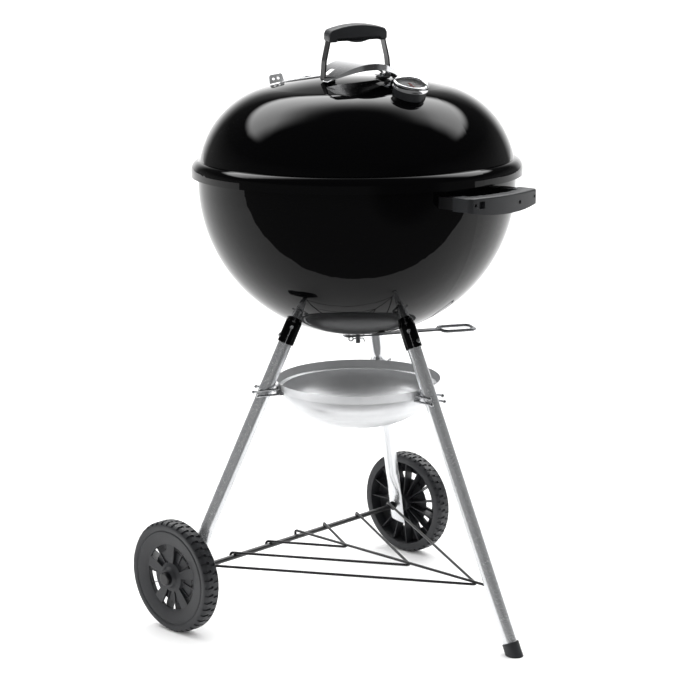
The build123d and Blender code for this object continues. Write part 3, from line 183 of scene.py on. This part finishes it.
# %% Aluminium, spun on a lathe
# A spinning tool presses the sheet over a former and leaves rings about the axis, with a satin
# sheen that spreads every reflection sideways. A wave texture draws about three rings for each unit
# of its scale, so these stand some 7.5 mm apart: coarser than real ones, so that they show.
spun_aluminium = new_material("spun_aluminium_satin", Metallic=0.6, Roughness=0.38)
space = object_space(spun_aluminium)
rings = add_node(
    spun_aluminium, "ShaderNodeTexWave",
    {"Scale": per_metre(2.4) / 10, "Distortion": 0.6, "Detail": 2}, {"Vector": space},
    wave_type="RINGS", rings_direction="Z").outputs["Fac"]
blend_colours(spun_aluminium, noise(spun_aluminium, space, 22, 4), "#cfd0d2", "#dfe0e1")
vary_roughness(spun_aluminium, rings, 0.32, 0.46)
raise_surface(spun_aluminium, rings, 0.03, 0.5)

# %% Stainless steel, pressed and polished
# Buffed steel is almost a mirror, with a faint cloudy haze where the polish is uneven.
polished_steel = new_material("stainless_polished", Metallic=1.0, Roughness=0.12)
haze = noise(polished_steel, object_space(polished_steel), 9, 5)
blend_colours(polished_steel, haze, "#c6c7c9", "#dcdddf")
vary_roughness(polished_steel, haze, 0.07, 0.2)
raise_surface(polished_steel, haze, 0.03)


# %% Moulded plastics
# Glass-filled nylon takes the fine spark texture of its mould, which breaks up every highlight.
# The wheels are polypropylene, a little paler and duller, with a coarser grain.
def moulded(name, dark, light, low, high, grain_mm, depth_mm):
    """A dark finish with a fine grain, as from a spark-eroded mould or a powder coat."""
    material = new_material(name, Roughness=0.5)
    space = object_space(material)
    grain = noise(material, space, grain_mm, 3, Roughness=0.6)
    blend_colours(material, noise(material, space, 30, 2), dark, light)
    vary_roughness(material, grain, low, high)
    raise_surface(material, grain, depth_mm)
    return material


grey_nylon = moulded("glass_filled_nylon_moulded", "#18191b", "#222427", 0.34, 0.52, 1.1, 0.06)
wheel_plastic = moulded("polypropylene_moulded", "#1b1c1f", "#26272a", 0.42, 0.6, 1.4, 0.08)

# %% Powder coat and plating
# Powder coat melts to a thick dark skin with a slight orange peel. Nickel plate is a soft warm
# mirror. Aluminised sheet is duller and shows a faint spangle.
black_steel = moulded("powder_coated_steel", "#0a0a0b", "#111113", 0.3, 0.42, 1.6, 0.03)
plated_steel = new_material("nickel_plated_steel", Metallic=1.0, Roughness=0.26)
pull = noise(plated_steel, object_space(plated_steel), 3, 4)
blend_colours(plated_steel, pull, "#a9aaac", "#c4c5c7")
vary_roughness(plated_steel, pull, 0.2, 0.36)
raise_surface(plated_steel, pull, 0.02)
aluminised = new_material("aluminised_steel_pressed", Metallic=1.0, Roughness=0.42)
spangle = add_node(
    aluminised, "ShaderNodeTexVoronoi", {"Scale": per_metre(5)},
    {"Vector": object_space(aluminised)}).outputs["Distance"]
blend_colours(aluminised, spangle, "#77787a", "#8b8c8f")
vary_roughness(aluminised, spangle, 0.36, 0.52)

# %% Dial, needle and glass
# The dial is matt pale enamel with dark printing, under a clear flat lens that mirrors the room.
dial_enamel = new_material("dial_printed_enamel", Roughness=0.4)
print_grain = noise(dial_enamel, object_space(dial_enamel), 0.8, 2)
blend_colours(dial_enamel, print_grain, "#b9babb", "#c6c7c8")
dial_ink = new_material("dial_printing_ink", Roughness=0.55)
ink_grain = noise(dial_ink, object_space(dial_ink), 0.5, 2)
blend_colours(dial_ink, ink_grain, "#2a2a2c", "#3a3a3d")
needle_paint = new_material("needle_painted", Roughness=0.35)
dust = noise(needle_paint, object_space(needle_paint), 1.2, 2)
blend_colours(needle_paint, dust, "#7d1812", "#951f17")
clear_glass = new_material("float_glass", Roughness=0.0, IOR=1.5, Transmission_Weight=1.0)

# %% Dress the engineering nodes
FINISHES = {
    "black_enamel": black_enamel, "spun_aluminium": spun_aluminium,
    "polished_steel": polished_steel, "grey_nylon": grey_nylon, "wheel_plastic": wheel_plastic,
    "black_steel": black_steel, "plated_steel": plated_steel, "sweep_steel": aluminised,
    "dial_paint": dial_enamel, "needle_paint": needle_paint, "clear_glass": clear_glass,
    "satin_aluminium": leg_finishes["front"],
}
for part in frame["record"]["subparts"]:
    node = frame["nodes"][part["node"]]
    finish = FINISHES[part["material_slot"]]
    if part["node"].startswith("leg_rear"):
        finish = leg_finishes[part["node"][4:]]
    if not node.material_slots:
        node.data.materials.append(finish)
    for place in node.material_slots:
        place.material = finish
print(len(frame["nodes"]), "nodes dressed")

# %% [markdown]
# ## Finer pieces
# Some engineering solids are simpler than the real part. Those are drawn again here as finer meshes
# in exactly the same place, and each one stands for its node. Every mesh is built about its own
# middle in millimetres, then its points are carried to the true place, so the object itself stays
# unmoved and unturned.

# %% Building helpers
SHARP = math.radians(38)  # edges steeper than this stay crisp
WELD = 0.0005  # millimetres, closes the seam and the poles of a spun mesh
# The lid's crown, as the engineering part draws it: a flat cap that runs into a rounder shoulder.
LID_R, LID_TOP, CAP_R, SHOULDER_R, CAP_REACH = 282.0, 986.2, 676.8, 158.8, 150


def finish_piece(name, mesh, carry, finishes, body, stands_for):
    """Turn a millimetre mesh into an object in its true place, on its body, hiding the nodes it
    stands for.
    """
    bmesh.ops.transform(mesh, matrix=carry, verts=mesh.verts)
    bmesh.ops.recalc_face_normals(mesh, faces=mesh.faces)
    data = bpy.data.meshes.new(name)
    mesh.to_mesh(data)
    mesh.free()
    for finish in finishes:
        data.materials.append(finish)
    data.shade_smooth()
    data.set_sharp_from_angle(angle=SHARP)
    piece = bpy.data.objects.new(name, data)
    bpy.context.collection.objects.link(piece)
    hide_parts(*stands_for)
    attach(piece, body)
    print(name, len(data.polygons), "faces")
    return piece


def crown_frame(out, azimuth, turn):
    """Matrix from a fitting's own millimetres to the crown: z square to it, x towards turn."""
    shoulder_x, cap_z = LID_R - SHOULDER_R, LID_TOP - CAP_R
    if out < CAP_REACH:
        tilt, height = math.asin(out / CAP_R), cap_z + math.sqrt(CAP_R ** 2 - out ** 2)
    else:
        tilt = math.asin((out - shoulder_x) / SHOULDER_R)
        shoulder_z = cap_z + math.sqrt((CAP_R - SHOULDER_R) ** 2 - shoulder_x ** 2)
        height = shoulder_z + SHOULDER_R * math.cos(tilt)
    azimuth, turn = math.radians(azimuth), math.radians(turn)
    normal = Vector((
        math.sin(tilt) * math.cos(azimuth), math.sin(tilt) * math.sin(azimuth), math.cos(tilt)))
    along = Vector((math.cos(turn), math.sin(turn), 0))
    along = (along - normal * along.dot(normal)).normalized()
    side = normal.cross(along)
    place = Vector((out * math.cos(azimuth), out * math.sin(azimuth), height)) * MM
    turned = Matrix((along, side, normal)).transposed().to_4x4()
    return Matrix.Translation(place) @ turned @ Matrix.Scale(MM, 4)


def ring(mesh, points):
    """A closed ring of edges through points."""
    corners = [mesh.verts.new(point) for point in points]
    return [mesh.edges.new((corners[i - 1], corners[i])) for i in range(len(corners))]


def turned_body(mesh, profile, steps):
    """Spin a closed profile of (radius, height) points a full turn about z."""
    edges = ring(mesh, [(radius, 0, height) for radius, height in profile])
    start = [vert for edge in edges for vert in edge.verts]
    bmesh.ops.spin(
        mesh, geom=list(dict.fromkeys(start)) + edges, cent=(0, 0, 0), axis=(0, 0, 1),
        angle=math.tau, steps=steps, use_merge=True)
    bmesh.ops.remove_doubles(mesh, verts=mesh.verts, dist=WELD)


def move_grown(mesh, geometry, vector):
    """Move the vertices that an extrusion made."""
    moved = [item for item in geometry if isinstance(item, bmesh.types.BMVert)]
    bmesh.ops.translate(mesh, verts=moved, vec=vector)


print("helpers ready; a leg leans", round(math.degrees(LEAN), 1), "degrees")

# %% [markdown]
# ### Wheels
# Each wheel is one moulding. The tyre has two rows of lugs that are offset by half a pitch, cut by
# pushing every third block of the tread inwards. Five flat arms reach from the hub to the step
# inside the rim and narrow slightly outwards. Behind them stand thin ribs that run from the hub to
# the rim, and a web closes the inner part, which is why so little light shows between the arms.

# %% Wheel mesh
TYRE_R, TYRE_HALF, RIM_R, HUB_R, BORE_R = 101.8, 17.0, 84.0, 17.0, 4.9
PITCH_STEPS, LUGS, LUG_DEEP = 3, 44, 2.8
TREAD_FROM, GROOVE_HALF = 97, 0.8  # lugs are cut outside this radius, either side of a middle band
ARMS, ARM_IN, ARM_OUT, ARM_FACE, ARM_THICK = 5, 24, 61, 11.3, 4.4
ARM_STEPS, ARM_COLUMNS = 8, 6
RIBS, RIB_HALF, RIB_BACK, RIB_FRONT = 15, 0.9, -12.4, 7.4
WHEEL_BACK, WHEEL_OUT = -161.5, 312.3  # the wheel's middle from the kettle's axis
TYRE = [
    (RIM_R, -16.4), (RIM_R + 2, -TYRE_HALF), (95.4, -TYRE_HALF), (97.2, -16.2), (101.2, -11.8),
    (TYRE_R, -10), (TYRE_R, -GROOVE_HALF), (TYRE_R, GROOVE_HALF), (TYRE_R, 10), (101.2, 11.8),
    (97.2, 16.2), (95.4, TYRE_HALF), (88, 16.6), (86.6, 15.4), (85.2, 15.4), (83.8, 16.4),
    (78, 15.6), (70, 13.2), (61, 11.4), (60, 10.8), (60, 8), (61, 7), (79, 10.4), (83.4, 8.6),
    (RIM_R, 7)]
HUB_AND_WEB = [
    (BORE_R, -20.6), (5.4, -21), (15.6, -21), (HUB_R, -19.8), (HUB_R, 1.5), (20, 2.2), (48, 2.2),
    (48.8, 3), (48.8, 4.4), (48, 5.2), (30, 5.2), (28, 7.4), (27, 11.2), (25, 12.2), (20.5, 13.4),
    (18.6, 15.2), (HUB_R, 18.4), (15.4, 19.8), (13.6, 20), (BORE_R + 1, 20), (BORE_R, 19.4)]


def cut_lugs(mesh, upper):
    """Push every third block of one row of the tread inwards."""
    shift = 0 if upper else PITCH_STEPS / 2
    cut = []
    for face in mesh.faces:
        middle = face.calc_center_median()
        steps = math.atan2(middle.y, middle.x) / math.tau * PITCH_STEPS * LUGS
        in_row = middle.z > GROOVE_HALF if upper else middle.z < -GROOVE_HALF
        on_tread = math.hypot(middle.x, middle.y) > TREAD_FROM
        if on_tread and in_row and (steps + shift) % PITCH_STEPS < 1.0:
            cut.append(face)
    grown = bmesh.ops.extrude_face_region(mesh, geom=cut)["geom"]
    for vert in [item for item in grown if isinstance(item, bmesh.types.BMVert)]:
        shrink = 1 - LUG_DEEP / math.hypot(vert.co.x, vert.co.y)
        vert.co.x, vert.co.y = vert.co.x * shrink, vert.co.y * shrink
    bmesh.ops.delete(mesh, geom=cut, context="FACES_ONLY")


def add_arm(mesh, azimuth):
    """A flat arm with a raised middle: a grid on its face, pulled back to a thickness."""
    inner, outer = math.radians(13.6), math.radians(9.7)  # half of its spread at each end
    rows = []
    for step in range(ARM_STEPS + 1):
        radius = ARM_IN + (ARM_OUT - ARM_IN) * step / ARM_STEPS
        spread = inner + (outer - inner) * step / ARM_STEPS
        angles = [azimuth + spread * (column / 3 - 1) for column in range(ARM_COLUMNS + 1)]
        rows.append([mesh.verts.new((radius * math.cos(angle), radius * math.sin(angle), ARM_FACE))
                     for angle in angles])
    top = [mesh.faces.new((rows[i][j], rows[i + 1][j], rows[i + 1][j + 1], rows[i][j + 1]))
           for i in range(ARM_STEPS) for j in range(ARM_COLUMNS)]
    raised = bmesh.ops.inset_region(mesh, faces=top, thickness=1.4, depth=0.7, use_even_offset=True)
    under = bmesh.ops.extrude_face_region(mesh, geom=top + raised["faces"])["geom"]
    move_grown(mesh, under, (0, 0, -ARM_THICK))


def add_rib(mesh, azimuth):
    """A thin upright rib from the hub to the rim."""
    along = Vector((math.cos(azimuth), math.sin(azimuth), 0))
    across = Vector((-along.y, along.x, 0))
    outline = [(16, RIB_BACK), (40, RIB_BACK), (70, RIB_BACK), (84.2, RIB_BACK),
               (84.2, RIB_FRONT), (62, RIB_FRONT), (40, RIB_FRONT), (16, RIB_FRONT)]
    side = mesh.faces.new([
        mesh.verts.new(along * radius + across * -RIB_HALF + Vector((0, 0, height)))
        for radius, height in outline])
    grown = bmesh.ops.extrude_face_region(mesh, geom=[side])["geom"]
    move_grown(mesh, grown, across * 2 * RIB_HALF)


def wheel_mesh():
    """One wheel about its own axle, its outer face towards +z, in millimetres."""
    mesh = bmesh.new()
    turned_body(mesh, TYRE, PITCH_STEPS * LUGS)
    for upper in (True, False):
        cut_lugs(mesh, upper)
    bmesh.ops.remove_doubles(mesh, verts=mesh.verts, dist=WELD)
    turned_body(mesh, HUB_AND_WEB, 72)
    for arm in range(ARMS):
        add_arm(mesh, math.radians(90 + 360 / ARMS * arm))
    for rib in range(RIBS):
        add_rib(mesh, math.radians(360 / RIBS * rib + 12))
    return mesh


for side, name in ((-1, "left"), (1, "right")):
    turn = Matrix.Rotation(math.radians(-90 * side), 4, "X")
    place = Vector((WHEEL_BACK, side * WHEEL_OUT, TYRE_R)) * MM
    carry = Matrix.Translation(place) @ turn @ Matrix.Scale(MM, 4)
    finish_piece(f"wheel_moulding_{name}", wheel_mesh(), carry, [wheel_plastic],
                 f"wheel_{name}", [f"wheel_{name}"])

# %% [markdown]
# ### Lid grip
# The grip is lofted across its width: the same outline, drawn smaller in the last steps at each
# side, gives a moulded edge radius. Its top is arched and one long belly fills the underside.

# %% Grip mesh
HALF_LONG, END_TOP, MID_TOP, END_LOW = 53.9, 86.0, 94.9, 66.6
END_DROP = 5.5  # how far the top falls over its last tenth
BELLY_EDGE, BELLY_DEEP = 71.2, 6.8
HANDLE_OUT, HANDLE_AZIMUTH, HANDLE_TURN = 50.2, -47.5, 66.0
SIDE_STEPS = (  # place across the grip, and how far its outline is drawn in there
    (-14.9, 2.4), (-14.4, 1.2), (-13.4, 0.4), (-12, 0), (-6, 0), (0, 0), (6, 0), (12, 0),
    (13.4, 0.4), (14.4, 1.2), (14.9, 2.4))


def grip_outline(inset):
    """Outline of the grip in its own length and height, moved in by an inset."""
    points = []
    for i in range(33):
        across = -1 + 2 * i / 32
        height = MID_TOP - (MID_TOP - END_TOP) * across * across
        height -= END_DROP * max(0, (abs(across) - 0.9) / 0.1) ** 2
        points.append(Vector((across * (HALF_LONG - 0.2), height)))
    end = [(0, 76), (0, 71), (1.4, 68), (4, 66.7), (13, END_LOW), (14.6, 67.4)]
    points += [Vector((HALF_LONG - back, height)) for back, height in end]
    for i in range(25):
        across = 1 - 2 * i / 24
        height = BELLY_EDGE - BELLY_DEEP * math.cos(across * math.pi / 2) ** 2
        points.append(Vector((across * (HALF_LONG - 15.4), height)))
    points += [Vector((back - HALF_LONG, height)) for back, height in reversed(end)]
    moved = []
    for i, point in enumerate(points):
        run = (points[(i + 1) % len(points)] - points[i - 1]).normalized()
        moved.append(point + Vector((run.y, -run.x)) * inset)
    return moved


mesh = bmesh.new()
loops = [ring(mesh, [(point.x, across, point.y) for point in grip_outline(inset)])
         for across, inset in SIDE_STEPS]
for before, after in zip(loops, loops[1:]):
    bmesh.ops.bridge_loops(mesh, edges=before + after)
for end in (loops[0], loops[-1]):
    bmesh.ops.edgeloop_fill(mesh, edges=end)
handle = crown_frame(HANDLE_OUT, HANDLE_AZIMUTH, HANDLE_TURN)
finish_piece("lid_grip_moulding", mesh, handle, [grey_nylon], "lid",
             ["lid_handle_grip"])

# %% [markdown]
# ### Thermometer
# The bezel is a spun and polished ring with a rolled outer edge and a bright inner lip. The dial is
# a shallow pressed disc that carries printed ticks: one long tick for every fifth division.

# %% Bezel and dial meshes
THERMOMETER_OUT, THERMOMETER_AZIMUTH = 171.5, -15.3
DIAL_TOP, INK_TOP = 15.7, 15.74  # the ink stands a hair above the dial
DIVISIONS, DIAL_SWEEP, TICK_END = 40, 260, 22.2
BEZEL = [
    (28.55, 12.1), (29.9, 12.1), (30.4, 12.6), (30.45, 13.4), (30.0, 14.2), (30.0, 19.6),
    (30.45, 20.6), (30.3, 22.0), (29.4, 23.1), (28.2, 23.45), (26.6, 23.2), (25.3, 22.6),
    (25.05, 22.2), (25.1, 22.05), (28.5, 22.05)]
DIAL = [
    (0.95, 15.05), (28.4, 15.05), (28.45, 15.5), (28.3, 15.9), (24.6, 15.9), (23.8, DIAL_TOP),
    (22, DIAL_TOP), (14, DIAL_TOP), (6, DIAL_TOP), (0.95, DIAL_TOP)]

thermometer = crown_frame(THERMOMETER_OUT, THERMOMETER_AZIMUTH, THERMOMETER_AZIMUTH)
mesh = bmesh.new()
turned_body(mesh, BEZEL, 96)
finish_piece("thermometer_rim_ring", mesh, thermometer, [polished_steel], "lid",
             ["thermometer_bezel"])

mesh = bmesh.new()
turned_body(mesh, DIAL, 96)
for tick in range(DIVISIONS + 1):
    azimuth = math.radians(-DIAL_SWEEP / 2 + DIAL_SWEEP * tick / DIVISIONS)
    long = tick % 5 == 0
    along = Vector((math.cos(azimuth), math.sin(azimuth), 0))
    across = Vector((-along.y, along.x, 0)) * (0.34 if long else 0.17)
    near = along * (17.2 if long else 19.6)
    far = along * TICK_END
    corners = [near - across, far - across, far + across, near + across]
    mark = mesh.faces.new([mesh.verts.new(corner + Vector((0, 0, INK_TOP))) for corner in corners])
    mark.material_index = 1
finish_piece("thermometer_dial_plate", mesh, thermometer, [dial_enamel, dial_ink],
             "lid", ["thermometer_dial"])

# %% [markdown]
# ## Studio
# A plain pale floor, a pale surround and large soft lights, as in a product studio. The enamel is
# like a mirror, so what it shows is the room. The area lights brighten the grill but are kept out
# of its reflections. The bright band near the top of the lid and the soft edges come from the
# surround, which looks different to a reflected ray than to the camera.

# %% Floor
# The floor ends half a metre in front of the grill's axis, so the middle of the bowl mirrors a
# dark room and not a white floor. The lower part of the bowl still mirrors the floor and reads dark
# grey, and the floor's front edge shows in it as an arc, which the real grill doesn't have.
VIEW_TURN = math.radians(43.4)  # the camera's azimuth, to a tenth of a degree
VIEW_AWAY = Vector((-math.sin(VIEW_TURN), math.cos(VIEW_TURN), 0))
FLOOR_SIZE, FLOOR_FRONT, FLOOR_DROP = 60, 0.5, 0.0005  # metres
bpy.ops.mesh.primitive_plane_add(
    size=FLOOR_SIZE, rotation=(0, 0, VIEW_TURN),
    location=VIEW_AWAY * (FLOOR_SIZE / 2 - FLOOR_FRONT) - Vector((0, 0, FLOOR_DROP)))
floor = bpy.context.object
floor.name = "studio_floor"
floor.data.materials.append(
    new_material("studio_floor_paint", Base_Color=linear("#fbfbfb"), Roughness=0.95))

# %% Surround
# To the camera it is white, and for soft light it is nearly white. In reflections it is a lit
# backdrop behind the grill that fades to a greyer room at the sides and dims with height, and a
# black flag to the right of the camera puts a dark line on the tubes. Above the backdrop a raised
# light bank makes the wide soft band across the front of the lid's crown.
FLAG_AZIMUTH = math.radians(-12)
FLAG_WAY = Vector((math.cos(FLAG_AZIMUTH), math.sin(FLAG_AZIMUTH), 0))
WHITE_SEEN, WHITE_LIGHT = 1.0, 0.9

world = bpy.data.worlds.new("studio_surround")
bpy.context.scene.world = world
world.use_nodes = True
backdrop = world.node_tree.nodes["Background"]
backdrop.inputs["Color"].default_value = linear("#ffffff")
way = add_node(world, "ShaderNodeTexCoord").outputs["Generated"]
up_part = add_node(world, "ShaderNodeSeparateXYZ", feeds={0: way}).outputs["Z"]


def towards(vector):
    """How far a ray's way points along a vector."""
    return add_node(
        world, "ShaderNodeVectorMath", {1: vector}, {0: way},
        operation="DOT_PRODUCT").outputs["Value"]


def step(value, start, stop, low, high, curve="SMOOTHSTEP"):
    """Go from one level to another while a value goes from start to stop."""
    return add_node(
        world, "ShaderNodeMapRange",
        {"From Min": start, "From Max": stop, "To Min": low, "To Max": high}, {"Value": value},
        interpolation_type=curve).outputs["Result"]


def combine(operation, first, second):
    """Join two levels with one maths operation."""
    return add_node(
        world, "ShaderNodeMath", feeds={0: first, 1: second}, operation=operation).outputs["Value"]


facing = towards(VIEW_AWAY)
lit_backdrop = step(facing, 0.78, 0.965, 0.2, 1.6)
dimmed = combine("MULTIPLY", lit_backdrop, step(up_part, 0.12, 0.38, 1.0, 0.25, "LINEAR"))
flagged = combine("MULTIPLY", dimmed, step(towards(FLAG_WAY), 0.86, 0.97, 1.0, 0.3))
bank = combine(
    "MULTIPLY", step(up_part, 0.55, 0.63, 0.0, 7.0), step(up_part, 0.76, 0.975, 1.0, 0.0))
bank_behind = combine("MULTIPLY", bank, step(facing, 0.0, 0.3, 0.0, 1.0))
reflected = combine("ADD", flagged, bank_behind)
ray = add_node(world, "ShaderNodeLightPath")
lighting = add_node(
    world, "ShaderNodeMix", {"B": WHITE_LIGHT},
    {"Factor": ray.outputs["Is Diffuse Ray"], "A": reflected}).outputs["Result"]
seen = add_node(
    world, "ShaderNodeMix", {"B": WHITE_SEEN},
    {"Factor": ray.outputs["Is Camera Ray"], "A": lighting}).outputs["Result"]
world.node_tree.links.new(seen, backdrop.inputs["Strength"])


# %% Soft lights
def softbox(name, place, aim, wide, high, power):
    """A rectangular soft light at a place, turned towards a point and kept out of reflections."""
    data = bpy.data.lights.new(name, "AREA")
    data.shape, data.size, data.size_y, data.energy = "RECTANGLE", wide, high, power
    lamp = bpy.data.objects.new(name, data)
    bpy.context.collection.objects.link(lamp)
    lamp.location = place
    lamp.rotation_euler = (Vector(aim) - Vector(place)).to_track_quat("-Z", "Y").to_euler()
    lamp.visible_glossy = False


softbox("ceiling_light", (0, 0, 3.4), (0, 0, 0), 5.0, 5.0, 60)
softbox("left_light", (-0.9, -3.0, 1.1), (0, 0, 0.55), 2.0, 2.6, 14)
softbox("right_light", (3.0, 0.9, 1.1), (0, 0, 0.55), 2.0, 2.6, 14)

# %% Camera
# It stands about three and a half metres away and a little above the handle, looks slightly down,
# and its long lens keeps the wheels and the bowl in natural proportion.
AZIMUTH, DISTANCE, HEIGHT = math.radians(43.3829), 3.4508, 1.2464
TURN, TILT, ROLL = math.radians(0.5448), math.radians(-12.0602), math.radians(-0.5099)
SENSOR_MM, FOCAL_PIXELS, PICTURE_PIXELS = 36, 1943.493, 680
heading = AZIMUTH + TURN
ahead = Vector((
    -math.sin(heading) * math.cos(TILT), math.cos(heading) * math.cos(TILT), math.sin(TILT)))
right = ahead.cross(Vector((0, 0, 1))).normalized()
up = right.cross(ahead)
right, up = (math.cos(ROLL) * right + math.sin(ROLL) * up,
             math.cos(ROLL) * up - math.sin(ROLL) * right)
lens = bpy.data.cameras.new("studio_camera")
lens.sensor_width, lens.lens = SENSOR_MM, SENSOR_MM * FOCAL_PIXELS / PICTURE_PIXELS
lens.clip_end = 100
camera = bpy.data.objects.new("studio_camera", lens)
bpy.context.collection.objects.link(camera)
camera.matrix_world = Matrix((
    (right.x, up.x, -ahead.x, DISTANCE * math.sin(AZIMUTH)),
    (right.y, up.y, -ahead.y, -DISTANCE * math.cos(AZIMUTH)),
    (right.z, up.z, -ahead.z, HEIGHT),
    (0, 0, 0, 1)))
bpy.context.scene.camera = camera
bpy.context.scene.view_settings.view_transform = "Standard"
print("camera is at", [round(v, 3) for v in camera.location])
